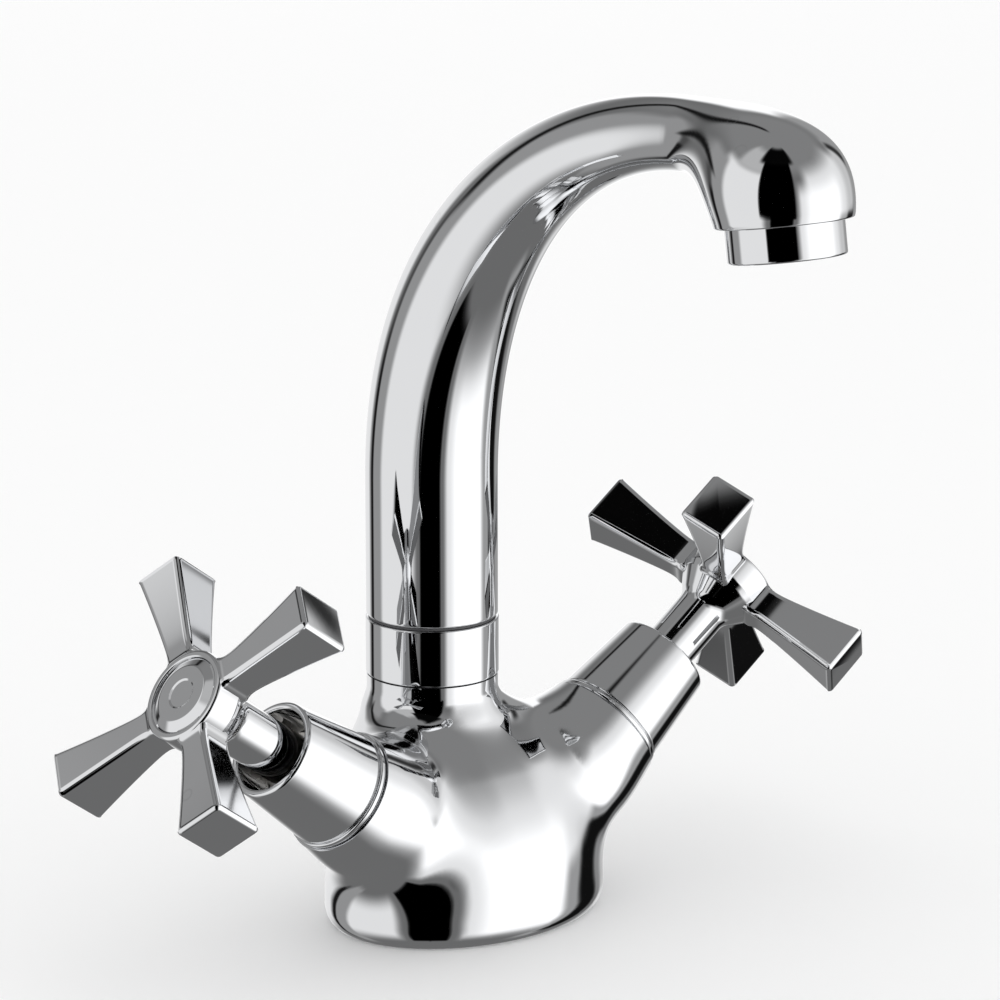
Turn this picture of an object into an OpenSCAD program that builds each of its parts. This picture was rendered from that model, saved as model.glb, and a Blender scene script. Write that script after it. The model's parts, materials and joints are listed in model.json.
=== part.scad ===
// Two-handle basin mixer: a cast body with two raised valve arms, a swivel swan-neck spout
// and two quarter-turn ceramic headworks with cross handles.
// Millimetres, +Z up. The origin is on the deck at the centre of the oval base.
// +X is the cold side, and the spout points to -Y.

/* [Body] */
// Length of the oval base, side to side
base_l = 67; // [62:0.5:86]
// Width of the oval base, front to back
base_w = 52.5; // [50:0.5:66]
// Height of the body's neck above the deck
neck_h = 52; // [48:0.5:64]
// Distance from the base's centre back to the spout's axis
tube_y = 11.2; // [9:0.2:14]
// Height at which the two valve axes cross
valve_z = 8.3; // [7:0.1:11]
// Distance from the base's centre forward to the plane of the valve axes
valve_front = 3.2; // [1:0.1:5]
// Angle of a valve axis above the deck
valve_tilt = 36; // [32:0.5:42]
// Distance from the axes' crossing to the end face of a valve arm
valve_reach = 46; // [44:0.5:56]
// Diameter of a valve arm at its end face
valve_d = 26.6; // [26:0.1:32]

/* [Spout] */
// Diameter of the spout's tube at the foot
tube_d = 29; // [28:0.5:35]
// Wall of the tube
tube_wall = 3.5; // [3:0.1:4.2]
// Height of the swivel collar
collar_h = 13.3; // [11:0.1:17]
// Straight rise of the tube above the collar
tube_rise = 30.4; // [28:0.5:45]
// Height of the crown's centre line above the deck
crown_h = 181.2; // [165:0.5:220]
// Reach from the spout's axis to the outlet
spout_reach = 109.7; // [95:0.5:132]
// Diameter of the spout at its thinnest, before the head
thin_d = 15.2; // [14:0.2:18]
// Wall of the head round the aerator's thread
head_wall = 1.9; // [1.6:0.1:3]
// Height of the head's lower face above the deck
outlet_h = 167.1; // [150:0.5:172]
// Outward lean of the outlet
outlet_lean = 9; // [0:0.5:15]

/* [Aerator] */
// Thread diameter of the aerator
aerator_d = 24; // [22:0.1:29]
// Length of the aerator below the head
aerator_drop = 7; // [4:0.1:9]

/* [Shrouds] */
// Length of a shroud
shroud_len = 20.4; // [18:0.1:25]
// Outer diameter of a shroud's open end
shroud_end_d = 21.8; // [21:0.1:26]
// Width of the bead ring between arm and shroud
bead_w = 2; // [1.6:0.1:3]

/* [Handles] */
// Distance from an arm's end face to the middle of the cross
cross_rise = 45.2; // [44:0.1:55]
// Distance from the hub's axis to the end face of a cross arm
cross_reach = 34.6; // [28:0.1:41]
// Width of a cross arm at its end face
tip_w = 11.6; // [8:0.1:13]
// Depth of a cross arm at its end face
tip_depth = 13; // [9:0.1:15]
// Width of a cross arm at its root
root_w = 5.8; // [5:0.1:7]
// Diameter of the hub
hub_d = 20.6; // [20:0.1:25]
// Width of the hub's rim round the index cap
hub_rim = 1.8; // [1.2:0.1:2.4]
// Diameter of the stem below the hub
stem_d = 11.8; // [11:0.1:14]
// Turn of the left cross when its valve is closed
left_turn = 48; // [0:1:90]
// Turn of the right cross when its valve is closed
right_turn = 29; // [0:1:90]

/* [Fits] */
// Radial clearance of a running fit
run_gap = 0.05; // [0.02:0.01:0.08]
// Radial clearance of a screwed or seated fit
seat_gap = 0.08; // [0.05:0.01:0.12]

/* [Hidden] */

$fn = 64;
CUT = 0.5;          // how far a cutting tool runs past a face
CHROME = [0.80, 0.81, 0.83];
BRASS = [0.72, 0.58, 0.30];
RUBBER = [0.12, 0.12, 0.13];
PLASTIC = [0.88, 0.88, 0.85];
CERAMIC = [0.95, 0.95, 0.93];

// Body: deck holes and the casting's inner chambers
seal_groove_w = 3.2;
seal_inset = 3.4;
seal_h = 2;
inlet_r = 4.5;              // M10 x 1 tapped
inlet_depth = 10;
inlet_x = 8.5;
inlet_y = -4.5;
stud_r = 3.4;               // M8 tapped
stud_depth = 14;
stud_y = 8.5;
duct_r = 3.3;
mix_r = 9;
mix_floor = 22;
tube_r = tube_d / 2;
neck_r = tube_r;
neck_band = 7;              // straight height of the neck under the collar
blend_inset = 0.2;          // how far faceted blends stay inside the turned surfaces

// Valve arms: the headwork's seats, measured along a valve axis from the arm's end face
valve_r = valve_d / 2;
thread_r = 10.42;           // G 1/2
thread_len = 14;
chamber_r = 9;
seat_w = -28;
seat_hole_r = 5;
oring_w = 1.4;
arm_root_w = seat_w - 5;   // the arm's root, under its seat
oring_seat_r = 12.05;

// Headwork
disc_r = 7.2;
disc_h = 2.8;
seal_rise = 2.2;
disc_w = seat_w + seal_rise;                // lower face of the fixed disc
turning_w = disc_w + disc_h + run_gap;      // lower face of the turning disc
foot_w = turning_w + disc_h;                // lower face of the spindle's foot
foot_h = 3;
foot_top = foot_w + foot_h;
shaft_r = 4.5;
spline_r = 3.95;
flange_r = valve_r - 1.4;
flange_h = 2;
hex_af = 19;
hex_h = 4;
shroud_thread_r = 8.95;
shroud_thread_h = 6;
guide_r = 7;
guide_h = 3;
cartridge_top = flange_h + hex_h + shroud_thread_h + guide_h;
clip_h = 0.7;
clip_w = cartridge_top + 0.35;
spline_w = clip_w + clip_h;
oring_groove_w = -6;
oring_groove_h = 1.8;
oring_groove_r = 3.2;

// Bead ring and shroud
bead_r = bead_w * 0.35;
bead_seat_r = valve_r - 0.4;
bead_bore_r = flange_r + seat_gap;
shroud_end = bead_w + shroud_len;
shroud_base_r = valve_r - 0.4;
shroud_end_r = shroud_end_d / 2;
mouth_r = shroud_end_r - 1.7;
web_w = flange_h + hex_h + 1;
web_h = 4;

// Cross handle
hub_r = hub_d / 2;
hub_front = cross_rise + 4.5;
cap_r = hub_r - hub_rim;
cap_seat = hub_front - 2.4;
screw_seat = cap_seat - 2.8;
screw_web = 2.5;
spindle_end = screw_seat - screw_web;
stem_r = stem_d / 2;
stem_w = spline_w + 0.45;
bell_w = cross_rise - 8.2;
cross_root_depth = 7;
cross_inner = 6;
screw_r = 2.05;
screw_head_r = 4.4;

// Spout and its swivel
spout_bore_r = tube_r - tube_wall;
ring_r = spout_bore_r - run_gap;
collar_seal_h = 0.5;
washer_h = 0.6;
nipple_flange_r = tube_r - 2.1;
nipple_flange_h = 3;
nipple_thread_r = 9.4;
nipple_thread_len = 11;
nipple_land_r = ring_r - 0.35;
nipple_water_r = 7.5;
collar_r = tube_r + 0.15;
collar_foot = neck_h + collar_seal_h;
collar_top = collar_foot + collar_h - 2 * collar_seal_h;
spout_foot = collar_top + washer_h + run_gap;
rise_top = spout_foot + tube_rise;
ring_h = 4;
ring_groove_r = ring_r - 1.4;
nipple_oring_h = 2.2;
nipple_oring_groove_r = ring_r - 1.9;
lower_ring_z = spout_foot + 1.4;
lower_oring_z = lower_ring_z + ring_h + 1.8;
keeper_z = lower_oring_z + nipple_oring_h + 4;      // axis of the retaining screw
upper_oring_z = keeper_z + 3.2;
upper_ring_z = upper_oring_z + nipple_oring_h + 1.2;
nipple_top = upper_ring_z + ring_h + 1.4;
keeper_r = 2;
keeper_tip_r = 1.4;
keeper_groove_r = ring_r - 1.8;
thin_r = thin_d / 2;
head_r = aerator_d / 2 + head_wall;
outlet_y = tube_y - spout_reach;
head_run = 27;              // from the spout's thinnest point to the outlet, along Y
crown_y = outlet_y + head_run;

// Aerator
aerator_r = aerator_d / 2;
aerator_thread_len = 8;
aerator_seal_h = 1.6;
aerator_bore_r = aerator_r - 2.4;

// ---- Frames ----

// Frame of one headwork: +Z along the valve axis, Z = 0 on the arm's end face
module at_arm_end(side) {
    translate([0, -valve_front, valve_z])
    rotate([0, side * (90 - valve_tilt), 0])
    translate([0, 0, valve_reach])
    children();
}

// Frame of the swivel: +Z along the tube
module at_tube() {
    translate([0, tube_y, 0])
    children();
}

// Frame of the outlet: +Z up the leaning bore, Z = 0 on the head's lower face
module at_outlet() {
    translate([0, outlet_y, outlet_h])
    rotate([-outlet_lean, 0, 0])
    children();
}

// ---- General shapes ----

// Ring of rectangular section from height z0
module ring(inner_r, outer_r, z0, h) {
    translate([0, 0, z0])
    rotate_extrude()
    translate([inner_r, 0])
    square([outer_r - inner_r, h]);
}

// Cylinder from height z0
module post(r, z0, h) {
    translate([0, 0, z0])
    cylinder(r = r, h = h);
}

// Straight duct between two points
module duct(a, b, r) {
    d = b - a;
    len = norm(d);
    translate(a)
    rotate([0, acos(d[2] / len), atan2(d[1], d[0])])
    cylinder(r = r, h = len);
}

// Ellipse as an even polygon
function oval(a, b, n = 64) = [for (i = [0:n - 1]) [a * cos(360 * i / n), b * sin(360 * i / n)]];

// Closed skin over a list of rings with the same number of points
module skin(rings) {
    n = len(rings[0]);
    m = len(rings);
    points = [for (ring = rings) each ring];
    sides = [for (j = [0:m - 2], i = [0:n - 1])
        each let (a = j * n + i, b = j * n + (i + 1) % n)
            [[a, b + n, b], [a, a + n, b + n]]];
    foot = [[for (i = [0:n - 1]) i]];
    top = [[for (i = [0:n - 1]) m * n - 1 - i]];
    polyhedron(points, concat(foot, sides, top), convexity = 6);
}

// ---- Body ----

function smooth(t) = t * t * (3 - 2 * t);
function mix(a, b, t) = a + (b - a) * t;

// Outline of the casting at height share t, from the oval base to the round neck
function body_ring(t, n = 48) =
    let (
        k = smooth(pow(t, 1.6)),
        foot = t < 0.04 ? 0.8 : 0,
        a = mix(base_l / 2, neck_r - blend_inset, k) - foot,
        b = mix(base_w / 2, neck_r - blend_inset, k) - foot,
        y = mix(0, tube_y, k)
    )
    [for (i = [0:n - 1]) [a * cos(360 * i / n), y + b * sin(360 * i / n), t * (neck_h - 1)]];

module body_skin() {
    skin([for (t = [0, 0.04, 0.1, 0.2, 0.3, 0.4, 0.5, 0.6, 0.7, 0.8, 0.88, 1]) body_ring(t)]);
}

// Blend from a valve arm to the neck
module shoulder(side) {
    hull() {
        at_arm_end(side) post(valve_r - blend_inset, -20, 17, $fn = 32);
        at_tube() post(neck_r - blend_inset, neck_h - neck_band - 8, 8, $fn = 32);
    }
}

// Waterways and seats of one side
module valve_bores(side) {
    at_arm_end(side) {
        post(oring_seat_r, -oring_w, oring_w + CUT);
        post(thread_r + seat_gap, -thread_len, thread_len + CUT);
        post(chamber_r, seat_w, -seat_w - thread_len + CUT);
        post(seat_hole_r, seat_w - 3, 3 + CUT);
    }
    seat_c = valve_point(side, seat_w - 1);
    duct([side * inlet_x, inlet_y, inlet_depth - 2], seat_c, duct_r);
    duct(valve_point(side, seat_w + 7), [0, tube_y, mix_floor + 9], duct_r);
    translate([side * inlet_x, inlet_y, -CUT])
    cylinder(r = inlet_r, h = inlet_depth + CUT);
}

// Point on a valve axis, w along it from the arm's end face
function valve_point(side, w) =
    [side * (valve_reach + w) * cos(valve_tilt), -valve_front,
        valve_z + (valve_reach + w) * sin(valve_tilt)];

module seal_ring(gap) {
    a = base_l / 2 - seal_inset;
    b = base_w / 2 - seal_inset;
    difference() {
        polygon(oval(a + gap, b + gap));
        polygon(oval(a - seal_groove_w - gap, b - seal_groove_w - gap));
    }
}

module body() {
    color(CHROME)
    difference() {
        union() {
            body_skin();
            shoulder(-1);
            shoulder(1);
            at_arm_end(-1) post(valve_r, arm_root_w, -arm_root_w);
            at_arm_end(1) post(valve_r, arm_root_w, -arm_root_w);
            at_tube() post(neck_r, neck_h - neck_band, neck_band);
        }
        valve_bores(-1);
        valve_bores(1);
        at_tube() {
            post(mix_r, mix_floor, neck_h - mix_floor + CUT);
            post(nipple_thread_r + seat_gap, neck_h - nipple_thread_len, nipple_thread_len + CUT);
        }
        translate([0, stud_y, -CUT])
        cylinder(r = stud_r, h = stud_depth + CUT);
        translate([0, 0, -CUT])
        linear_extrude(seal_h + CUT)
        seal_ring(seat_gap);
    }
}

module base_seal() {
    color(RUBBER)
    linear_extrude(seal_h)
    seal_ring(0);
}

// ---- Swivel ----

module spout_nipple() {
    color(BRASS)
    at_tube()
    difference() {
        union() {
            post(nipple_thread_r, neck_h - nipple_thread_len + 0.5, nipple_thread_len);
            post(nipple_flange_r, neck_h, nipple_flange_h);
            post(nipple_land_r, neck_h, nipple_top - neck_h);
        }
        post(nipple_water_r, neck_h - nipple_thread_len - CUT, nipple_top);
        ring(ring_groove_r, tube_r, lower_ring_z, ring_h);
        ring(ring_groove_r, tube_r, upper_ring_z, ring_h);
        ring(nipple_oring_groove_r, tube_r, lower_oring_z, nipple_oring_h);
        ring(nipple_oring_groove_r, tube_r, upper_oring_z, nipple_oring_h);
        ring(keeper_groove_r, tube_r, keeper_z - keeper_tip_r - 0.1, 2 * keeper_tip_r + 0.2);
    }
}

module collar_seal() {
    color(RUBBER)
    at_tube() ring(nipple_flange_r + seat_gap, neck_r - 0.5, neck_h, collar_seal_h);
}

module swivel_collar() {
    color(CHROME)
    at_tube()
    difference() {
        post(collar_r, collar_foot, collar_top - collar_foot);
        post(nipple_flange_r + seat_gap, collar_foot - CUT, nipple_flange_h - collar_seal_h + CUT);
        post(nipple_land_r + seat_gap, collar_foot - CUT, collar_h + 2 * CUT);
    }
}

module glide_washer() {
    color(PLASTIC)
    at_tube() ring(nipple_land_r + seat_gap, tube_r - 0.5, collar_top, washer_h);
}

module glide_ring(z) {
    color(PLASTIC)
    at_tube() ring(ring_groove_r, ring_r, z, ring_h);
}

module lower_glide_ring() { glide_ring(lower_ring_z); }
module upper_glide_ring() { glide_ring(upper_ring_z); }

module nipple_oring(z) {
    color(RUBBER)
    at_tube() ring(nipple_oring_groove_r, ring_r, z, nipple_oring_h);
}

module lower_nipple_oring() { nipple_oring(lower_oring_z); }
module upper_nipple_oring() { nipple_oring(upper_oring_z); }

// ---- Spout ----

// Cubic curve through the plane of the spout, as [y, z]
function curve(p, t) =
    pow(1 - t, 3) * p[0] + 3 * t * pow(1 - t, 2) * p[1] + 3 * t * t * (1 - t) * p[2] + pow(t, 3) * p[3];
function curve_way(p, t) =
    pow(1 - t, 2) * (p[1] - p[0]) + 2 * t * (1 - t) * (p[2] - p[1]) + t * t * (p[3] - p[2]);

// The swan neck rises from the tube and levels out at the crown; the head turns down
rise = crown_h - rise_top;
crown_dip = 1;              // how far the neck's last control point lies under the crown
crown_slope = 2 * crown_dip / (tube_y - crown_y);
neck_curve = [
    [tube_y, rise_top],
    [tube_y, rise_top + 0.62 * rise],
    [mix(tube_y, crown_y, 0.5), crown_h - crown_dip],
    [crown_y, crown_h]
];
head_drop = [-sin(outlet_lean), -cos(outlet_lean)];
head_side = [cos(outlet_lean), -sin(outlet_lean)];
head_rise = crown_h + thin_r - outlet_h;
head_outer = [
    [crown_y, crown_h + thin_r],
    [crown_y - 16, crown_h + thin_r + 16 * crown_slope],
    [outlet_y, outlet_h + 1.05 * head_rise] - head_r * head_side,
    [outlet_y, outlet_h] - head_r * head_side
];
head_inner = [
    [crown_y, crown_h - thin_r],
    [crown_y - 7, crown_h - thin_r + 7 * crown_slope],
    [outlet_y, outlet_h] + head_r * head_side - 2 * head_drop,
    [outlet_y, outlet_h] + head_r * head_side
];
function neck_radius(t) = mix(tube_r - 0.1, thin_r, 0.5 - 0.5 * cos(180 * pow(t, 1.1)));

// Round section of radius r across the curve
function section(p, way, r, n) =
    let (d = way / norm(way))
    [for (i = [0:n - 1])
        [r * cos(360 * i / n), p[0] + d[1] * r * sin(360 * i / n), p[1] - d[0] * r * sin(360 * i / n)]];

// Ring of the head between its outer and inner outlines
function head_ring(t, inset, n) =
    let (outer = curve(head_outer, t), inner = curve(head_inner, t), across = outer - inner)
    section((outer + inner) / 2, [-across[1], across[0]], norm(across) / 2 - inset, n);

// Swept spout whose surface lies inset inside the outer one
module sweep(inset, overlap, n, steps) {
    neck_t = [for (i = [0:steps]) i / steps];
    head_t = [for (i = [1:steps / 2]) 2 * i / steps];
    start = section([tube_y, rise_top - overlap], [0, 1], neck_radius(0) - inset, n);
    finish = section([outlet_y, outlet_h] + inset / 4 * head_drop, head_drop, head_r - inset, n);
    skin(concat(
        [start],
        [for (t = neck_t) section(curve(neck_curve, t), curve_way(neck_curve, t), neck_radius(t) - inset, n)],
        [for (t = head_t) head_ring(t, inset, n)],
        inset > 0 ? [finish] : []
    ));
}

module spout() {
    color(CHROME)
    difference() {
        union() {
            at_tube() post(tube_r, spout_foot, tube_rise);
            sweep(0, 2, 32, 20);
        }
        at_tube() post(spout_bore_r, spout_foot - CUT, tube_rise + CUT);
        sweep(tube_wall + 0.4, 4, 20, 12);
        at_outlet() post(aerator_r, -2, aerator_thread_len + aerator_seal_h + 2);
        at_tube()
        translate([0, 0, keeper_z])
        rotate([-90, 0, 0])
        cylinder(r = keeper_r + seat_gap, h = tube_r + CUT);
    }
}

module spout_screw() {
    color(BRASS)
    at_tube()
    translate([0, 0, keeper_z])
    rotate([-90, 0, 0])
    difference() {
        union() {
            post(keeper_tip_r, keeper_groove_r + 0.1, 2);
            post(keeper_r, spout_bore_r + 0.1, tube_wall - 0.5);
        }
        translate([0, 0, tube_r - 2.2])
        cylinder(r = 1.1, h = 3, $fn = 6);
    }
}

// ---- Aerator ----

module aerator_housing() {
    color(CHROME)
    at_outlet()
    difference() {
        union() {
            post(aerator_r - seat_gap, -1, aerator_thread_len + 1);
            post(aerator_r - 0.15, -aerator_drop, aerator_drop - 0.9);
        }
        post(aerator_bore_r, -aerator_drop - CUT, aerator_drop + aerator_thread_len + 2 * CUT);
        ring(aerator_r - 0.8, aerator_r + 1, -1.4, 0.6);
    }
}

module aerator_insert() {
    color(PLASTIC)
    at_outlet()
    difference() {
        post(aerator_bore_r - seat_gap, 1 - aerator_drop, aerator_drop + aerator_thread_len - 1);
        for (row = [1:2], i = [0:6 * row - 1])
            rotate(60 * i / row)
            translate([3.1 * row, 0, 0])
            post(0.9, -aerator_drop, 2 * aerator_drop + aerator_thread_len);
        post(0.9, -aerator_drop, 2 * aerator_drop + aerator_thread_len);
    }
}

module aerator_seal() {
    color(RUBBER)
    at_outlet() ring(aerator_r - 3.4, aerator_r - seat_gap, aerator_thread_len, aerator_seal_h);
}

// ---- Headwork, in the frame of the arm's end face ----

module bead_ring() {
    color(CHROME)
    rotate_extrude()
    union() {
        translate([bead_bore_r, 0])
        square([bead_seat_r - bead_bore_r, bead_w]);
        translate([valve_r - bead_r, bead_w / 2])
        circle(r = bead_r, $fn = 32);
    }
}

module shroud() {
    color(CHROME)
    difference() {
        rotate_extrude()
        polygon([
            [0, bead_w],
            [shroud_base_r, bead_w],
            [shroud_end_r, shroud_end - 0.8],
            [shroud_end_r - 0.5, shroud_end],
            [0, shroud_end]
        ]);
        post(bead_bore_r - 0.4, bead_w - CUT, web_w - bead_w + CUT);
        post(shroud_thread_r + seat_gap, bead_w, shroud_len);
        post(mouth_r, web_w + web_h, shroud_len);
    }
}

module cartridge() {
    color(BRASS)
    difference() {
        union() {
            post(chamber_r - 0.2, seat_w + 1.2, -seat_w - thread_len);
            post(thread_r, -thread_len + 0.1, thread_len);
            post(flange_r, 0, flange_h);
            translate([0, 0, flange_h])
            cylinder(r = hex_af / sqrt(3), h = hex_h, $fn = 6);
            post(shroud_thread_r, flange_h + hex_h, shroud_thread_h);
            post(guide_r, flange_h + hex_h, shroud_thread_h + guide_h);
        }
        post(disc_r + 0.1, seat_w, foot_top + 0.2 - seat_w);
        post(shaft_r + run_gap, seat_w, cartridge_top - seat_w + CUT);
        translate([0, 0, turning_w + disc_h / 2])
        cube([3 * chamber_r, disc_r, disc_h + 0.8], center = true);
    }
}

module cartridge_oring() {
    color(RUBBER)
    ring(thread_r + 0.03, oring_seat_r - 0.03, -oring_w, oring_w);
}

module seat_seal() {
    color(RUBBER)
    ring(disc_r - 1.4, disc_r, seat_w, seal_rise);
}

// Two opposite ports of 80 degrees, for the ceramic discs
module disc_ports(z0) {
    translate([0, 0, z0 - CUT])
    linear_extrude(disc_h + 2 * CUT)
    intersection() {
        difference() {
            circle(r = disc_r - 1.4);
            circle(r = 1.5);
        }
        polygon([[0, 0], 2 * disc_r * [cos(40), sin(40)], 2 * disc_r * [cos(40), -sin(40)]]);
    }
    translate([0, 0, z0 - CUT])
    linear_extrude(disc_h + 2 * CUT)
    intersection() {
        difference() {
            circle(r = disc_r - 1.4);
            circle(r = 1.5);
        }
        polygon([[0, 0], 2 * disc_r * [-cos(40), sin(40)], 2 * disc_r * [-cos(40), -sin(40)]]);
    }
}

module fixed_disc() {
    color(CERAMIC)
    difference() {
        post(disc_r, disc_w, disc_h);
        disc_ports(disc_w);
    }
}

// Closed at rest: its ports stand a quarter-turn from the fixed disc's
module turning_disc() {
    color(CERAMIC)
    rotate(90)
    difference() {
        post(disc_r, turning_w, disc_h);
        disc_ports(turning_w);
    }
}

module spindle() {
    color(BRASS)
    difference() {
        union() {
            post(disc_r - 0.1, foot_w, foot_h);
            post(shaft_r, foot_w, spline_w - foot_w);
            post(spline_r, foot_w, spindle_end - foot_w);
        }
        ring(oring_groove_r, shaft_r + 1, oring_groove_w, oring_groove_h);
        ring(spline_r - 0.2, shaft_r + 1, clip_w, clip_h);
        post(screw_r + 0.05, spindle_end - 12, 12 + CUT);
    }
}

module spindle_oring() {
    color(RUBBER)
    ring(oring_groove_r, shaft_r + run_gap - 0.03, oring_groove_w, oring_groove_h);
}

module spindle_clip() {
    color(BRASS)
    ring(spline_r - 0.2, guide_r - 1, clip_w, clip_h);
}

// ---- Cross handle, in the frame of the arm's end face ----

// Flared arm of square section with chamfered edges, along +X
module cross_arm() {
    chamfer = 0.7;
    stations = [0, 0.15, 0.3, 0.45, 0.6, 0.75, 0.88, 0.975, 1];
    skin([for (u = stations)
        let (
            x = mix(cross_inner, cross_reach, u),
            flare = pow(u, 1.3),
            end_cut = u == 1 ? chamfer : 0,
            w = mix(root_w, tip_w, flare) / 2 - end_cut,
            d = mix(cross_root_depth, tip_depth, flare) / 2 - end_cut
        )
        [for (c = [[w, d - chamfer], [w - chamfer, d], [chamfer - w, d], [-w, d - chamfer],
            [-w, chamfer - d], [chamfer - w, -d], [w - chamfer, -d], [w, chamfer - d]])
            [x, c[0], cross_rise + c[1]]]
    ]);
}

module hub() {
    rotate_extrude()
    polygon([
        [0, stem_w],
        [stem_r, stem_w],
        [stem_r, bell_w],
        [stem_r + 0.5, bell_w + 1.8],
        [mix(stem_r, hub_r, 0.45), bell_w + 3.4],
        [hub_r, bell_w + 5],
        [hub_r, hub_front - 0.8],
        [hub_r - 0.8, hub_front],
        [0, hub_front]
    ]);
}

module cross_handle(turn) {
    color(CHROME)
    rotate(turn)
    difference() {
        union() {
            hub();
            for (i = [0:3])
                rotate(90 * i)
                cross_arm();
        }
        post(spline_r + seat_gap, stem_w - CUT, spindle_end - stem_w + CUT);
        post(screw_r + 0.5, stem_w, cap_seat - stem_w);
        post(screw_head_r + 0.5, screw_seat, cap_seat - screw_seat + CUT);
        post(cap_r, cap_seat, hub_front - cap_seat + CUT);
    }
}

module handle_screw() {
    color(BRASS)
    difference() {
        union() {
            post(screw_head_r, screw_seat, 2.4);
            post(screw_r, screw_seat - 10, 10);
        }
        translate([0, 0, screw_seat + 0.8])
        cylinder(r = 1.8, h = 3, $fn = 6);
    }
}

module index_cap() {
    color(CHROME)
    rotate_extrude()
    polygon([
        [0, cap_seat],
        [cap_r - seat_gap, cap_seat],
        [cap_r - seat_gap, hub_front - 0.4],
        [cap_r - 1, hub_front + 0.3],
        [0, hub_front]
    ]);
}

module left_bead_ring() { at_arm_end(-1) bead_ring(); }
module right_bead_ring() { at_arm_end(1) bead_ring(); }
module left_shroud() { at_arm_end(-1) shroud(); }
module right_shroud() { at_arm_end(1) shroud(); }
module left_cartridge() { at_arm_end(-1) cartridge(); }
module right_cartridge() { at_arm_end(1) cartridge(); }
module left_cartridge_oring() { at_arm_end(-1) cartridge_oring(); }
module right_cartridge_oring() { at_arm_end(1) cartridge_oring(); }
module left_seat_seal() { at_arm_end(-1) seat_seal(); }
module right_seat_seal() { at_arm_end(1) seat_seal(); }
module left_fixed_disc() { at_arm_end(-1) fixed_disc(); }
module right_fixed_disc() { at_arm_end(1) fixed_disc(); }
module left_turning_disc() { at_arm_end(-1) turning_disc(); }
module right_turning_disc() { at_arm_end(1) turning_disc(); }
module left_spindle() { at_arm_end(-1) spindle(); }
module right_spindle() { at_arm_end(1) spindle(); }
module left_spindle_oring() { at_arm_end(-1) spindle_oring(); }
module right_spindle_oring() { at_arm_end(1) spindle_oring(); }
module left_spindle_clip() { at_arm_end(-1) spindle_clip(); }
module right_spindle_clip() { at_arm_end(1) spindle_clip(); }
module left_cross_handle() { at_arm_end(-1) cross_handle(left_turn); }
module right_cross_handle() { at_arm_end(1) cross_handle(right_turn); }
module left_handle_screw() { at_arm_end(-1) handle_screw(); }
module right_handle_screw() { at_arm_end(1) handle_screw(); }
module left_index_cap() { at_arm_end(-1) index_cap(); }
module right_index_cap() { at_arm_end(1) index_cap(); }

body();
base_seal();
spout_nipple();
collar_seal();
swivel_collar();
glide_washer();
lower_glide_ring();
upper_glide_ring();
lower_nipple_oring();
upper_nipple_oring();
spout();
spout_screw();
aerator_housing();
aerator_insert();
aerator_seal();
left_bead_ring();
right_bead_ring();
left_shroud();
right_shroud();
left_cartridge();
right_cartridge();
left_cartridge_oring();
right_cartridge_oring();
left_seat_seal();
right_seat_seal();
left_fixed_disc();
right_fixed_disc();
left_turning_disc();
right_turning_disc();
left_spindle();
right_spindle();
left_spindle_oring();
right_spindle_oring();
left_spindle_clip();
right_spindle_clip();
left_cross_handle();
right_cross_handle();
left_handle_screw();
right_handle_screw();
left_index_cap();
right_index_cap();
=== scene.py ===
"""Looks of the two-handle basin mixer: polished chrome skins round the fixed CAD frame.

Shapes are worked out in millimetres in the part's own frame, and make_mesh() turns them into metres.
"""

import json
import math

import bmesh
import bpy
import numpy as np
from mathutils import Matrix, Vector


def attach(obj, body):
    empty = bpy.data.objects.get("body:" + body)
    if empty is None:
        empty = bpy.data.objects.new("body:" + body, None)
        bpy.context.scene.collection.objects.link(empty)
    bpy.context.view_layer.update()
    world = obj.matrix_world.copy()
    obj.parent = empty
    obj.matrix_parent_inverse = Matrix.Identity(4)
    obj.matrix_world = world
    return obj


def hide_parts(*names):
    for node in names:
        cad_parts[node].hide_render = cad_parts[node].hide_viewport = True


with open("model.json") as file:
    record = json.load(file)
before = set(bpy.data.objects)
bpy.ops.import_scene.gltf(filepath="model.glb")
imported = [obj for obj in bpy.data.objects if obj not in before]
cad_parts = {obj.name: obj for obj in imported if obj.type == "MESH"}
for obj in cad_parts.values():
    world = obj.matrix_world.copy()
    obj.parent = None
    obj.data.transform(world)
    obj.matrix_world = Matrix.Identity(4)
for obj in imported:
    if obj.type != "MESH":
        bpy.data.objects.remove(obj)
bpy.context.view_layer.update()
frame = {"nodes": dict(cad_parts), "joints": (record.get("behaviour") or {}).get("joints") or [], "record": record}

MM = 0.001

# ---------------------------------------------------------------- camera

VIEW_AZIMUTH = math.radians(39.69)      # the camera stands to the left of the front
VIEW_TILT = math.radians(14.0)          # and looks down by this much
VIEW_DISTANCE = 0.9004
VIEW_LENS = 151.76
AIM = Vector((0.0, -0.0121, 0.0951))    # on the spout's own plane, in front of the tube


def add_camera():
    """Camera at the object's usual three-quarter view."""
    data = bpy.data.cameras.new("view_camera")
    data.lens = VIEW_LENS
    data.sensor_width = 36.0
    data.clip_start = 0.05
    data.clip_end = 30.0
    camera = bpy.data.objects.new("view_camera", data)
    bpy.context.scene.collection.objects.link(camera)
    forward = Vector((
        math.sin(VIEW_AZIMUTH) * math.cos(VIEW_TILT),
        math.cos(VIEW_AZIMUTH) * math.cos(VIEW_TILT),
        -math.sin(VIEW_TILT),
    ))
    camera.location = AIM - VIEW_DISTANCE * forward
    camera.rotation_euler = (math.pi / 2 - VIEW_TILT, 0.0, -VIEW_AZIMUTH)
    bpy.context.scene.camera = camera


add_camera()

# ---------------------------------------------------------------- frames of the moving parts


def joint(name):
    return next(j for j in frame["joints"] if j["name"] == name)


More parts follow.
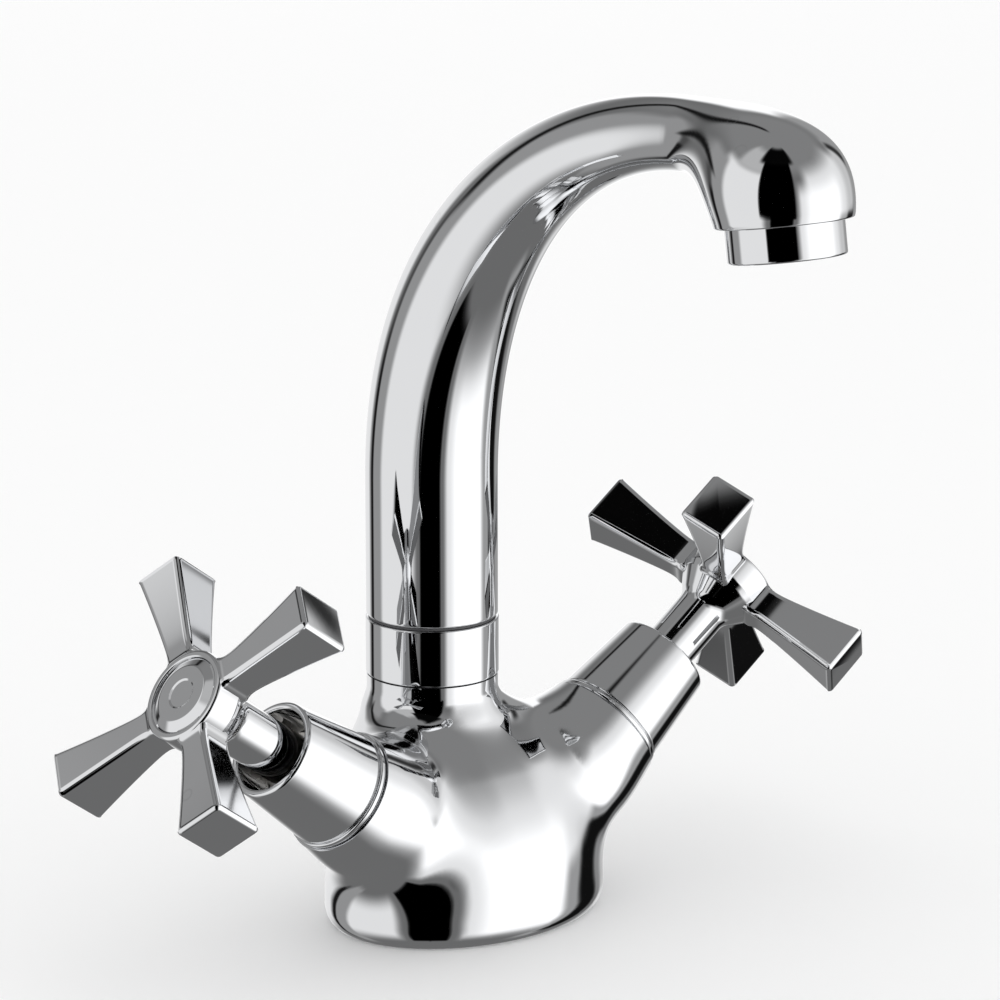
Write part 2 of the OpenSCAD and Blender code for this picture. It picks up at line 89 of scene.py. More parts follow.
def valve_frame(side):
    """Frame of one headwork: +Z along the valve axis, origin on the valve arm's end face."""
    turn = joint(side + "_valve")
    z = Vector(turn["axis"]).normalized()
    y = Vector((0.0, 1.0, 0.0))
    x = y.cross(z)
    place = Matrix((x, y, z)).transposed().to_4x4()
    place.translation = Vector(turn["pos_m"]) / MM - CROSS_RISE * z
    return place


def tube_frame():
    swivel = joint("spout_swivel")
    return Matrix.Translation(Vector((swivel["pos_m"][0], swivel["pos_m"][1], 0.0)) / MM)


def outlet_frame():
    """Frame of the outlet: +Z up the leaning bore, origin on the head's lower face."""
    place = Matrix.Translation(Vector((0.0, OUTLET_Y, OUTLET_H)))
    return place @ Matrix.Rotation(-OUTLET_LEAN, 4, "X")


# ---------------------------------------------------------------- sizes, in millimetres

CROSS_RISE = 45.2       # arm's end face to the middle of the cross
CROSS_REACH = 34.6
CROSS_TURN = {"left": math.radians(48.0), "right": math.radians(29.0)}
TIP_W, TIP_DEPTH = 11.6, 13.0
ROOT_W, ROOT_DEPTH = 5.8, 7.0
HUB_R, CAP_R, STEM_R = 10.3, 8.5, 5.9
HUB_FRONT = CROSS_RISE + 4.5
CAP_SEAT = HUB_FRONT - 2.4
BELL_FOOT = CROSS_RISE - 8.2
STEM_FOOT = 17.0
ARM_START = 6.0         # where a cross arm begins, inside the hub
ARM_FLARE = 1.3         # power by which an arm widens to its tip
ARM_EDGE, ARM_TIP_ROUND = 1.15, 1.1

VALVE_R = 13.3
BEAD_W = 2.0
BEAD_GROOVE, BEAD_GROOVE_R = 0.4, 12.6
SHROUD_FOOT, SHROUD_END = BEAD_W, 22.4
SHROUD_FOOT_R, SHROUD_END_R = 12.9, 10.9
SHROUD_MOUTH_R = SHROUD_END_R - 1.7
SHROUD_SEAT_R, HEADWORK_R = 11.6, 9.05

TUBE_Y = joint("spout_swivel")["pos_m"][1] / MM
TUBE_R, THIN_R, HEAD_R = 14.5, 7.6, 13.9
TUBE_BORE_R = 11.0
NECK_H = 52.0
COLLAR_LOW, COLLAR_HIGH = 52.5, 64.8
COLLAR_R, COLLAR_BORE_R, SEAL_R = 14.65, 11.0, 14.0
GLIDE_H = 0.6
SPOUT_FOOT = 65.45
RISE_TOP = SPOUT_FOOT + 30.4
CROWN_H = 181.2
OUTLET_Y = TUBE_Y - 109.7
OUTLET_H = 167.1
OUTLET_LEAN = math.radians(9.0)
CROWN_Y = OUTLET_Y + 27.0
AERATOR_R, SIEVE_R = 12.0, 9.6
AERATOR_DROP = 7.0
HEAD_LIP = 0.45         # rounding of the spout's rims

BASE_A, BASE_B = 33.5, 26.25
BASE_ROUND = 4.5        # rounding under the base's edge
STUD_R, STUD_DEPTH, STUD_Y = 3.4, 14.0, 8.5
INLET_R, INLET_DEPTH, INLET_X, INLET_Y = 4.5, 10.0, 8.5, -4.5
GROOVE_OUTER, GROOVE_INNER, GROOVE_DEPTH = (30.1, 22.85), (26.9, 19.65), 2.0

# Fillets of the cast body: neck into waist, arm into shoulder, and shoulders into the waist.
NECK_FILLET, SHOULDER_FILLET = 8.0, 10.0
WAIST_FILLET, WAIST_FILLET_MIDDLE = 7.0, 9.0
SHOULDER_DROP = 19.0    # from the neck's top face to the middle of the shoulders

# ---------------------------------------------------------------- mesh helpers


def make_mesh(name, points, faces, place=Matrix.Identity(4), sharp=40.0):
    """Object from points in millimetres, set in a frame, smooth except at edges over the sharp angle."""
    mesh = bpy.data.meshes.new(name)
    mesh.from_pydata([MM * (place @ Vector(p)) for p in points], [], faces)
    mesh.validate()
    obj = bpy.data.objects.new(name, mesh)
    bpy.context.scene.collection.objects.link(obj)
    smooth_shade(obj, sharp)
    return obj


def smooth_shade(obj, sharp=40.0):
    work = bmesh.new()
    work.from_mesh(obj.data)
    bmesh.ops.recalc_face_normals(work, faces=work.faces)
    work.to_mesh(obj.data)
    work.free()
    obj.data.shade_smooth()
    obj.data.set_sharp_from_angle(angle=math.radians(sharp))


def rounded(corners, closed, guard=0.18, steps=6):
    """Outline through (x, y, fillet) corners: arcs at the fillets and guard points beside them."""
    flat = [Vector(c[:2]) for c in corners]
    count = len(corners)
    out = []
    for i, corner in enumerate(corners):
        here = flat[i]
        inner = closed or 0 < i < count - 1
        fillet = corner[2] if inner else 0.0
        if not inner:
            out.append(here)
            continue
        back = flat[i - 1] - here
        ahead = flat[(i + 1) % count] - here
        reach_back, reach_ahead = back.length, ahead.length
        back.normalize()
        ahead.normalize()
        angle = back.angle(ahead)
        if fillet <= 0 or angle > math.pi - 1e-3:
            out.append(here)
            continue
        cut = min(fillet / math.tan(angle / 2), 0.45 * reach_back, 0.45 * reach_ahead)
        radius = cut * math.tan(angle / 2)
        middle = here + (back + ahead).normalized() * (radius / math.sin(angle / 2))
        start, end = here + back * cut, here + ahead * cut
        if reach_back > 2 * (cut + guard):
            out.append(start + back * guard)
        a0 = math.atan2(start.y - middle.y, start.x - middle.x)
        a1 = math.atan2(end.y - middle.y, end.x - middle.x)
        sweep = (a1 - a0 + math.pi) % (2 * math.pi) - math.pi
        for k in range(steps + 1):
            a = a0 + sweep * k / steps
            out.append(middle + radius * Vector((math.cos(a), math.sin(a))))
        if reach_ahead > 2 * (cut + guard):
            out.append(end + ahead * guard)
    return out


def lathe(name, corners, place, closed=True, turns=144, sharp=40.0):
    """Turned piece: an outline of (radius, height, fillet) corners spun round +Z of a frame."""
    line = rounded(corners, closed)
    points, rows = [], []
    for p in line:
        if p.x < 1e-6:
            rows.append([len(points)])
            points.append((0.0, 0.0, p.y))
            continue
        rows.append(list(range(len(points), len(points) + turns)))
        points += [
            (p.x * math.cos(2 * math.pi * k / turns), p.x * math.sin(2 * math.pi * k / turns), p.y)
            for k in range(turns)
        ]
    faces = []
    spans = len(rows) if closed else len(rows) - 1
    for i in range(spans):
        a, b = rows[i], rows[(i + 1) % len(rows)]
        for k in range(turns):
            n = (k + 1) % turns
            if len(a) == 1 and len(b) > 1:
                faces.append((a[0], b[n], b[k]))
            elif len(b) == 1 and len(a) > 1:
                faces.append((a[k], a[n], b[0]))
            elif len(a) > 1 and len(b) > 1:
                faces.append((a[k], a[n], b[n], b[k]))
    return make_mesh(name, points, faces, place, sharp)


def loft(rings, closed_ends=True):
    """Points and faces of a skin over rings that all have the same number of points."""
    count = len(rings[0])
    points = [p for ring in rings for p in ring]
    faces = []
    for j in range(len(rings) - 1):
        for i in range(count):
            a, b = j * count + i, j * count + (i + 1) % count
            faces.append((a, b, b + count, a + count))
    if closed_ends:
        faces.append(tuple(reversed(range(count))))
        last = (len(rings) - 1) * count
        faces.append(tuple(range(last, last + count)))
    return points, faces


def join_solids(base, others, operation="UNION"):
    """Boolean of whole solids, applied to the first one."""
    for other in others:
        mod = base.modifiers.new("join", "BOOLEAN")
        mod.operation = operation
        mod.solver = "EXACT"
        mod.object = other
    bpy.context.view_layer.update()
    solid = bpy.data.meshes.new_from_object(base.evaluated_get(bpy.context.evaluated_depsgraph_get()))
    base.modifiers.clear()
    base.data = solid
    for other in others:
        bpy.data.objects.remove(other)
    return base


def mix(a, b, t):
    return a + (b - a) * t


def smooth(t):
    return t * t * (3 - 2 * t)


# ---------------------------------------------------------------- materials


def new_group(name, inputs, outputs):
    """Empty shader group with named inputs (name, socket, default) and outputs (name, socket)."""
    group = bpy.data.node_groups.new(name, "ShaderNodeTree")
    for label, kind, value in inputs:
        socket = group.interface.new_socket(label, in_out="INPUT", socket_type=kind)
        socket.default_value = value
    for label, kind in outputs:
        group.interface.new_socket(label, in_out="OUTPUT", socket_type=kind)
    return group, group.nodes.new("NodeGroupInput"), group.nodes.new("NodeGroupOutput")


def maths(tree, operation, a, b=None, clamp=False):
    """Maths node fed by sockets or numbers."""
    node = tree.nodes.new("ShaderNodeMath")
    node.operation = operation
    node.use_clamp = clamp
    for socket, value in zip(node.inputs, (a, b)):
        if value is None:
            continue
        if isinstance(value, (int, float)):
            socket.default_value = value
        else:
            tree.links.new(value, socket)
    return node.outputs[0]


def noise(tree, vector, scale, detail=3.0, rough=0.5):
    node = tree.nodes.new("ShaderNodeTexNoise")
    node.inputs["Detail"].default_value = detail
    node.inputs["Roughness"].default_value = rough
    tree.links.new(vector, node.inputs["Vector"])
    if isinstance(scale, (int, float)):
        node.inputs["Scale"].default_value = scale
    else:
        tree.links.new(scale, node.inputs["Scale"])
    return node.outputs["Fac"]


def polish_group():
    """Buffed plating: cloudy roughness, hairline swirls and dried water spots."""
    group, inp, out = new_group(
        "buffed_plating",
        [
            ("Base Roughness", "NodeSocketFloat", 0.04),
            ("Haze", "NodeSocketFloat", 0.02),
            ("Spots", "NodeSocketFloat", 0.06),
            ("Hairlines", "NodeSocketFloat", 0.015),
        ],
        [("Roughness", "NodeSocketFloat"), ("Height", "NodeSocketFloat"), ("Film", "NodeSocketFloat")],
    )
    place = group.nodes.new("ShaderNodeTexCoord").outputs["Object"]
    cloud = noise(group, place, 55.0, 4.0, 0.6)
    haze = maths(group, "MULTIPLY", maths(group, "SUBTRACT", cloud, 0.42, True), inp.outputs["Haze"])

    stretch = group.nodes.new("ShaderNodeMapping")
    stretch.inputs["Scale"].default_value = (1.0, 1.0, 0.05)
    group.links.new(place, stretch.inputs["Vector"])
    hair = noise(group, stretch.outputs["Vector"], 5200.0, 2.0, 0.7)
    lines = maths(group, "MULTIPLY", maths(group, "GREATER_THAN", hair, 0.66), inp.outputs["Hairlines"])

    cells = group.nodes.new("ShaderNodeTexVoronoi")
    cells.inputs["Scale"].default_value = 95.0
    cells.inputs["Randomness"].default_value = 1.0
    group.links.new(place, cells.inputs["Vector"])
    rim = maths(group, "SUBTRACT", cells.outputs["Distance"], 0.13)
    rim = maths(group, "ABSOLUTE", rim)
    rim = maths(group, "SUBTRACT", 1.0, maths(group, "MULTIPLY", rim, 26.0), True)
    sparse = maths(group, "GREATER_THAN", noise(group, place, 23.0, 1.0), 0.60)
    spot = maths(group, "MULTIPLY", maths(group, "MULTIPLY", rim, sparse), inp.outputs["Spots"])

    rough = maths(group, "ADD", maths(group, "ADD", inp.outputs["Base Roughness"], haze),
                  maths(group, "ADD", lines, spot))
    group.links.new(rough, out.inputs["Roughness"])
    swell = noise(group, place, 38.0, 2.0, 0.4)
    group.links.new(swell, out.inputs["Height"])
    group.links.new(maths(group, "ADD", spot, haze), out.inputs["Film"])
    return group


def turning_group():
    """Fine rings left by the lathe tool, seen as height and roughness."""
    group, inp, out = new_group(
        "tool_marks",
        [("Pitch", "NodeSocketFloat", 4200.0), ("Base Roughness", "NodeSocketFloat", 0.25)],
        [("Roughness", "NodeSocketFloat"), ("Height", "NodeSocketFloat")],
    )
    place = group.nodes.new("ShaderNodeTexCoord").outputs["Object"]
    grain = noise(group, place, inp.outputs["Pitch"], 2.0, 0.6)
    blotch = noise(group, place, 120.0, 3.0)
    rough = maths(group, "ADD", inp.outputs["Base Roughness"],
                  maths(group, "MULTIPLY", maths(group, "SUBTRACT", blotch, 0.5), 0.25), True)
    group.links.new(rough, out.inputs["Roughness"])
    group.links.new(grain, out.inputs["Height"])
    return group


def moulding_group():
    """Moulded surface: fine pebble in height, slow drift in tone and roughness."""
    group, inp, out = new_group(
        "moulded_skin",
        [
            ("Grain", "NodeSocketFloat", 2600.0),
            ("Base Roughness", "NodeSocketFloat", 0.45),
            ("Light", "NodeSocketColor", (0.8, 0.8, 0.78, 1.0)),
            ("Dark", "NodeSocketColor", (0.7, 0.7, 0.68, 1.0)),
        ],
        [("Color", "NodeSocketColor"), ("Roughness", "NodeSocketFloat"), ("Height", "NodeSocketFloat")],
    )
    place = group.nodes.new("ShaderNodeTexCoord").outputs["Object"]
    drift = noise(group, place, 180.0, 4.0, 0.6)
    blend = group.nodes.new("ShaderNodeMix")
    blend.data_type = "RGBA"
    group.links.new(drift, blend.inputs["Factor"])
    group.links.new(inp.outputs["Dark"], blend.inputs["A"])
    group.links.new(inp.outputs["Light"], blend.inputs["B"])
    group.links.new(blend.outputs["Result"], out.inputs["Color"])
    rough = maths(group, "ADD", inp.outputs["Base Roughness"],
                  maths(group, "MULTIPLY", maths(group, "SUBTRACT", drift, 0.5), 0.3), True)
    group.links.new(rough, out.inputs["Roughness"])
    group.links.new(noise(group, place, inp.outputs["Grain"], 2.0), out.inputs["Height"])
    return group


GROUPS = {"plating": polish_group(), "tooling": turning_group(), "moulding": moulding_group()}


def new_material(name, group, values, bump, **constants):
    """Principled material with one effect group feeding it, and a bump of the given depth in metres."""
    material = bpy.data.materials.new(name)
    material.use_nodes = True
    tree = material.node_tree
    shader = tree.nodes["Principled BSDF"]
    for socket, value in constants.items():
        shader.inputs[socket.replace("_", " ")].default_value = value
    effect = tree.nodes.new("ShaderNodeGroup")
    effect.node_tree = GROUPS[group]
    for socket, value in values.items():
        effect.inputs[socket].default_value = value
    tree.links.new(effect.outputs["Roughness"], shader.inputs["Roughness"])
    if "Color" in effect.outputs:
        tree.links.new(effect.outputs["Color"], shader.inputs["Base Color"])
    height = tree.nodes.new("ShaderNodeBump")
    height.inputs["Strength"].default_value = 1.0
    height.inputs["Distance"].default_value = bump
    tree.links.new(effect.outputs["Height"], height.inputs["Height"])
    tree.links.new(height.outputs["Normal"], shader.inputs["Normal"])
    return material, tree, shader, effect


def chrome(name, tint, **values):
    """Bright chrome plate whose thin water film greys the tint a little."""
    material, tree, shader, effect = new_material(
        name, "plating", values, 0.000006, Metallic=1.0)
    blend = tree.nodes.new("ShaderNodeMix")
    blend.data_type = "RGBA"
    blend.inputs["A"].default_value = (*tint, 1.0)
    blend.inputs["B"].default_value = (*(0.86 * c for c in tint), 1.0)
    film = maths(tree, "MULTIPLY", effect.outputs["Film"], 6.0, True)
    tree.links.new(film, blend.inputs["Factor"])
    tree.links.new(blend.outputs["Result"], shader.inputs["Base Color"])
    return material


def metal(name, tint, dull, pitch, rough):
    material, tree, shader, effect = new_material(
        name, "tooling", {"Pitch": pitch, "Base Roughness": rough}, 0.000008, Metallic=1.0)
    blend = tree.nodes.new("ShaderNodeMix")
    blend.data_type = "RGBA"
    blend.inputs["A"].default_value = (*tint, 1.0)
    blend.inputs["B"].default_value = (*dull, 1.0)
    tree.links.new(effect.outputs["Height"], blend.inputs["Factor"])
    tree.links.new(blend.outputs["Result"], shader.inputs["Base Color"])
    return material


def moulded(name, light, dark, rough, grain=2600.0, bump=0.00002, **constants):
    values = {"Light": (*light, 1.0), "Dark": (*dark, 1.0), "Base Roughness": rough, "Grain": grain}
    return new_material(name, "moulding", values, bump, **constants)[0]


SILVER = (0.815, 0.822, 0.835)
MATERIALS = {
    "body_chrome": chrome("body_chrome", SILVER, **{"Base Roughness": 0.035, "Haze": 0.03}),
    "spout_chrome": chrome("spout_chrome", SILVER, **{"Base Roughness": 0.03, "Haze": 0.02}),
    "handle_chrome": chrome("handle_chrome", SILVER, **{"Base Roughness": 0.045, "Haze": 0.05}),
    "trim_chrome": chrome("trim_chrome", SILVER, **{"Base Roughness": 0.03, "Haze": 0.015}),
    "turned_brass": metal("turned_brass", (0.80, 0.62, 0.30), (0.58, 0.42, 0.18), 4200.0, 0.28),
    "nickel_plate": metal("nickel_plate", (0.62, 0.60, 0.56), (0.48, 0.46, 0.43), 4200.0, 0.3),
    "steel_screw": metal("steel_screw", (0.66, 0.66, 0.67), (0.48, 0.48, 0.49), 5200.0, 0.3),
    "black_rubber": moulded("black_rubber", (0.035, 0.035, 0.037), (0.018, 0.018, 0.019), 0.62),
    "glide_plastic": moulded("glide_plastic", (0.11, 0.11, 0.115), (0.06, 0.06, 0.065), 0.38),
    "aerator_plastic": moulded("aerator_plastic", (0.46, 0.47, 0.47), (0.34, 0.35, 0.36), 0.4),
    "white_ceramic": moulded("white_ceramic", (0.92, 0.92, 0.89), (0.86, 0.86, 0.83), 0.16, 5200.0,
                             0.000004, Coat_Weight=0.4),
}


def finish_piece(obj, body, slot, *nodes):
    """Gives a piece the material of its slot, hangs it on its body and hides the CAD nodes that it stands for."""
    obj.data.materials.clear()
    obj.data.materials.append(MATERIALS[slot])
    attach(obj, body)
    if nodes:
        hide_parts(*nodes)
    return obj


# ---------------------------------------------------------------- body


def nearer(a, b, reach):
    """Smooth union of two distances, with a fillet that reaches this far."""
    h = np.maximum(reach - np.abs(a - b), 0.0) / np.maximum(reach, 1e-6)
    return np.minimum(a, b) - h * h * reach / 4


def taper_distance(p, a, b, ra, rb):
    """Distance to a round bar from a to b whose radius runs from ra to rb."""
    way = b - a
    t = np.clip((p - a) @ way / (way @ way), 0, 1)
    return np.linalg.norm(p - a - t[:, None] * way, axis=1) - mix(ra, rb, smooth(t))


def body_distance(p):
    """Signed distance, near enough, from the skin of the cast body."""
    x, y, z = p.T
    t = np.clip(z / NECK_H, 0, 1)
    k = smooth(t ** 1.6)
    under = np.clip((BASE_ROUND - z) / BASE_ROUND, 0, 1)
    inset = 0.62 * BASE_ROUND * (1 - np.sqrt(np.maximum(1 - under ** 2, 0)))
    a = mix(BASE_A, TUBE_R - 3.0, k) - inset
    b = mix(BASE_B, TUBE_R - 3.0, k) - inset
    u, v = x / a, (y - TUBE_Y * k) / b
    g = np.sqrt(u * u + v * v)
    slope = np.sqrt((u / a) ** 2 + (v / b) ** 2) / np.maximum(g, 1e-6)
    skin = (g - 1) / np.maximum(slope, 1e-6)
    neck = np.hypot(x, y - TUBE_Y) - TUBE_R
    neck = np.maximum(neck, NECK_H - 14.0 - z)
    top = smooth(np.clip((NECK_H - z) / 8.0, 0, 1))
    low = smooth(np.clip((NECK_H - 6.0 - z) / 12.0, 0, 1))
    middle = 1 - smooth(np.clip((np.abs(x) - 4.0) / 22.0, 0, 1))
    skin = nearer(skin, neck, NECK_FILLET * top)
    reach = (WAIST_FILLET + WAIST_FILLET_MIDDLE * low * middle) * top
    for side in ("left", "right"):
        place = valve_frame(side)
        axis = np.array(place.to_3x3().col[2])
        end = np.array(place.translation)
        arm = taper_distance(p, end - 28.0 * axis, end + 6.0 * axis, VALVE_R, VALVE_R)
        root = np.array((0.0, TUBE_Y, NECK_H - SHOULDER_DROP))
        shoulder = taper_distance(p, end - 12.0 * axis, root, VALVE_R - 1.0, TUBE_R - 3.0)
        skin = nearer(skin, nearer(arm, shoulder, SHOULDER_FILLET), reach)
    return skin


def project(points, distance, rounds=6):
    """Moves points onto the zero of a distance function."""
    step = 0.02
    for _ in range(rounds):
        d = distance(points)
        slope = np.stack([
            (distance(points + step * np.eye(3)[i]) - distance(points - step * np.eye(3)[i])) / (2 * step)
            for i in range(3)
        ], axis=1)
        slope /= np.maximum((slope ** 2).sum(1), 0.2)[:, None]
        points = points - np.clip(d, -1.5, 1.5)[:, None] * slope
    return points


def relaxed(obj, distance, rounds):
    """Evens out a remeshed skin and keeps it on its surface."""
    mesh = obj.data
    edges = np.array([e.vertices[:] for e in mesh.edges])
    points = np.array([v.co[:] for v in mesh.vertices]) / MM
    valence = np.bincount(edges.ravel(), minlength=len(points)).astype(float)[:, None]
    points = project(points, distance)
    for _ in range(rounds):
        total = np.zeros_like(points)
        np.add.at(total, edges[:, 0], points[edges[:, 1]])
        np.add.at(total, edges[:, 1], points[edges[:, 0]])
        points = project(mix(points, total / valence, 0.6), distance, 1)
    points = project(points, distance, 3)
    mesh.vertices.foreach_set("co", (MM * points).ravel())
    mesh.update()


def plane_cut(obj, point, normal):
    """Cuts away what lies past a plane and closes the cut."""
    work = bmesh.new()
    work.from_mesh(obj.data)
    cut = bmesh.ops.bisect_plane(
        work, geom=work.verts[:] + work.edges[:] + work.faces[:], dist=1e-7,
        plane_co=MM * Vector(point), plane_no=normal, clear_outer=True)
    rim = [e for e in cut["geom_cut"] if isinstance(e, bmesh.types.BMEdge)]
    bmesh.ops.holes_fill(work, edges=rim, sides=0)
    work.to_mesh(obj.data)
    work.free()


def rough_body():
    """Overlapping simple solids, near the cast body's skin, for remeshing."""
    rings = []
    for t in np.linspace(-0.04, 1.04, 14):
        k = smooth(min(max(t, 0.0), 1.0) ** 1.6)
        a, b = mix(BASE_A, TUBE_R, k), mix(BASE_B, TUBE_R, k)
        rings.append([
            (a * math.cos(q), TUBE_Y * k + b * math.sin(q), t * NECK_H)
            for q in np.linspace(0, 2 * math.pi, 48, endpoint=False)
        ])
    blank = make_mesh("rough_body", *loft(rings))
    arms = []
    for side in ("left", "right"):
        corners = [(0, -26, 0), (VALVE_R, -26, 0), (VALVE_R, 3, 0), (0, 3, 0)]
        arms.append(lathe("rough_arm", corners, valve_frame(side), closed=False, turns=48))
    return join_solids(blank, arms)


def remesh(obj, size):
    mod = obj.modifiers.new("remesh", "REMESH")
    mod.mode = "VOXEL"
    mod.voxel_size = size * MM
    bpy.context.view_layer.update()
    obj.data = bpy.data.meshes.new_from_object(
        obj.evaluated_get(bpy.context.evaluated_depsgraph_get()))
    obj.modifiers.clear()


def drill(name, r, top, x=0.0, y=0.0):
    """Cutter for a hole up from the deck."""
    corners = [(0, -3, 0), (r, -3, 0), (r, top, 0), (0, top, 0)]
    return lathe(name, corners, Matrix.Translation((x, y, 0)), closed=False, turns=48)


def seal_cutter():
    """Cutter for the oval groove that holds the seal under the base."""
    count = 96
    low, high = -1.0, GROOVE_DEPTH
    corners = ((GROOVE_OUTER, low), (GROOVE_OUTER, high), (GROOVE_INNER, high), (GROOVE_INNER, low))
    rings = [
        [(a * math.cos(q), b * math.sin(q), z) for q in np.linspace(0, 2 * math.pi, count, endpoint=False)]
        for (a, b), z in corners
    ]
    points, faces = loft(rings, closed_ends=False)
    last = 3 * count
    faces += [(last + i, last + (i + 1) % count, (i + 1) % count, i) for i in range(count)]
    return make_mesh("seal_cut", points, faces)


def add_body():
    """Cast body: one blended skin, cut flat at the deck, the neck and the valve arms."""
    obj = rough_body()
    obj.name = "cast_body"
    remesh(obj, 0.9)
    relaxed(obj, body_distance, 24)
    plane_cut(obj, (0, 0, 0), (0, 0, -1))
    plane_cut(obj, (0, 0, NECK_H), (0, 0, 1))
    for side in ("left", "right"):
        place = valve_frame(side)
        plane_cut(obj, place.translation, place.to_3x3().col[2])
    holes = [drill("stud_cut", STUD_R, STUD_DEPTH, 0, STUD_Y)]
    holes += [drill("inlet_cut", INLET_R, INLET_DEPTH, x, INLET_Y) for x in (-INLET_X, INLET_X)]
    join_solids(obj, holes + [seal_cutter()], "DIFFERENCE")
    smooth_shade(obj, 35)
    for face in obj.data.polygons:
        face.use_smooth = face.normal.z > -0.9999       # the underside stays flat
    finish_piece(obj, "base", "body_chrome", "body")


# ---------------------------------------------------------------- spout


def curve(p, t):
    p = [np.array(q, float) for q in p]
    return ((1 - t) ** 3 * p[0] + 3 * t * (1 - t) ** 2 * p[1]
            + 3 * t * t * (1 - t) * p[2] + t ** 3 * p[3])


def curve_way(p, t):
    p = [np.array(q, float) for q in p]
    way = ((1 - t) ** 2 * (p[1] - p[0]) + 2 * t * (1 - t) * (p[2] - p[1]) + t * t * (p[3] - p[2]))
    return way / np.linalg.norm(way)


HEAD_DROP = (-math.sin(OUTLET_LEAN), -math.cos(OUTLET_LEAN))
CROWN_DIP = 1.0
CROWN_SLOPE = 2 * CROWN_DIP / (TUBE_Y - CROWN_Y)
NECK_CURVE = [
    (TUBE_Y, RISE_TOP),
    (TUBE_Y, RISE_TOP + 0.62 * (CROWN_H - RISE_TOP)),
    (mix(TUBE_Y, CROWN_Y, 0.5), CROWN_H - CROWN_DIP),
    (CROWN_Y, CROWN_H),
]
HEAD_SIDE = (math.cos(OUTLET_LEAN), -math.sin(OUTLET_LEAN))
HEAD_RISE = CROWN_H + THIN_R - OUTLET_H
LIP_OUTER = (OUTLET_Y - HEAD_R * HEAD_SIDE[0], OUTLET_H - HEAD_R * HEAD_SIDE[1])
LIP_INNER = (OUTLET_Y + HEAD_R * HEAD_SIDE[0], OUTLET_H + HEAD_R * HEAD_SIDE[1])
HEAD_OUTER = [
    (CROWN_Y, CROWN_H + THIN_R),
    (CROWN_Y - 16.0, CROWN_H + THIN_R + 16.0 * CROWN_SLOPE),
    (LIP_OUTER[0], OUTLET_H + 1.05 * HEAD_RISE + (LIP_OUTER[1] - OUTLET_H)),
    LIP_OUTER,
]
HEAD_INNER = [
    (CROWN_Y, CROWN_H - THIN_R),
    (CROWN_Y - 7.0, CROWN_H - THIN_R + 7.0 * CROWN_SLOPE),
    (LIP_INNER[0] - 2 * HEAD_DROP[0], LIP_INNER[1] - 2 * HEAD_DROP[1]),
    LIP_INNER,
]


def neck_radius(t):
    return mix(TUBE_R, THIN_R, 0.5 - 0.5 * math.cos(math.pi * t ** 1.1))


def section(centre, way, r, count):
    """Round ring across the spout's curve."""
    return [
        (r * math.cos(a), centre[0] + way[1] * r * math.sin(a), centre[1] - way[0] * r * math.sin(a))
        for a in np.linspace(0, 2 * math.pi, count, endpoint=False)
    ]


def head_ring(t, count):
    """Round ring of the head between its outer and inner outlines."""
    outer, inner = curve(HEAD_OUTER, t), curve(HEAD_INNER, t)
    across = outer - inner
    size = np.linalg.norm(across)
    return section((outer + inner) / 2, (-across[1] / size, across[0] / size), size / 2, count)


def add_spout():
    """Swan-neck spout: turned foot, tapering bend, flared head with a rounded lip and its bore."""
    count = 128
    up = (0.0, 1.0)
    lip, bore = HEAD_LIP, AERATOR_R + 0.05
    rings = [section((TUBE_Y, SPOUT_FOOT), up, TUBE_BORE_R, count)]
    for a in np.linspace(0, math.pi / 2, 6):
        r = TUBE_R - lip + lip * math.sin(a)
        rings.append(section((TUBE_Y, SPOUT_FOOT + lip - lip * math.cos(a)), up, r, count))
    rings += [section((TUBE_Y, z), up, TUBE_R, count) for z in np.linspace(SPOUT_FOOT + 0.8, RISE_TOP, 10)]
    for t in np.linspace(0, 1, 97)[1:]:
        rings.append(section(curve(NECK_CURVE, t), curve_way(NECK_CURVE, t), neck_radius(t), count))
    for t in np.linspace(0, 0.985, 60)[1:]:
        rings.append(head_ring(t, count))
    end = np.array((OUTLET_Y, OUTLET_H))
    down = np.array(HEAD_DROP)
    for a in np.linspace(0, math.pi / 2, 6):
        r = HEAD_R - lip + lip * math.cos(a)
        rings.append(section(end - (lip - lip * math.sin(a)) * down, down, r, count))
    rings.append(section(end, down, bore + 0.2, count))
    rings.append(section(end - 0.2 * down, down, bore, count))
    rings.append(section(end - 9.6 * down, down, bore, count))
    obj = make_mesh("swan_neck_spout", *loft(rings), sharp=35)
    finish_piece(obj, "spout", "spout_chrome", "spout")


def add_swivel():
    """Collar under the spout with its dark seal below and its glide washer above."""
    low, high = COLLAR_LOW - 0.2, COLLAR_HIGH
    washer_top = high + GLIDE_H
    tube = tube_frame()
    corners = [
        (COLLAR_BORE_R, low, 0.2), (COLLAR_R, low, 0.25), (COLLAR_R, high, 0.3), (COLLAR_BORE_R, high, 0.2),
    ]
    finish_piece(lathe("collar", corners, tube), "base", "trim_chrome", "swivel_collar")
    corners = [
        (12.5, NECK_H, 0.1), (SEAL_R, NECK_H, 0.2), (SEAL_R, COLLAR_LOW, 0.2), (12.5, COLLAR_LOW, 0.1),
    ]
    finish_piece(lathe("collar_ring_seal", corners, tube), "base", "black_rubber", "collar_seal")
    corners = [(10.8, high, 0.1), (SEAL_R, high, 0.2), (SEAL_R, washer_top, 0.2), (10.8, washer_top, 0.1)]
    finish_piece(lathe("collar_glide_washer", corners, tube), "base", "glide_plastic", "glide_washer")


def add_aerator():
    """Aerator: plain chrome ring under the head, open at its sieve."""
    place = outlet_frame()
    r, top = AERATOR_R - 0.15, 7.9
    corners = [
        (SIEVE_R, top, 0.2), (r, top, 0.2), (r, -AERATOR_DROP, 0.5), (SIEVE_R, -AERATOR_DROP, 0.5),
    ]
    finish_piece(lathe("aerator_ring", corners, place), "spout", "trim_chrome", "aerator_housing")


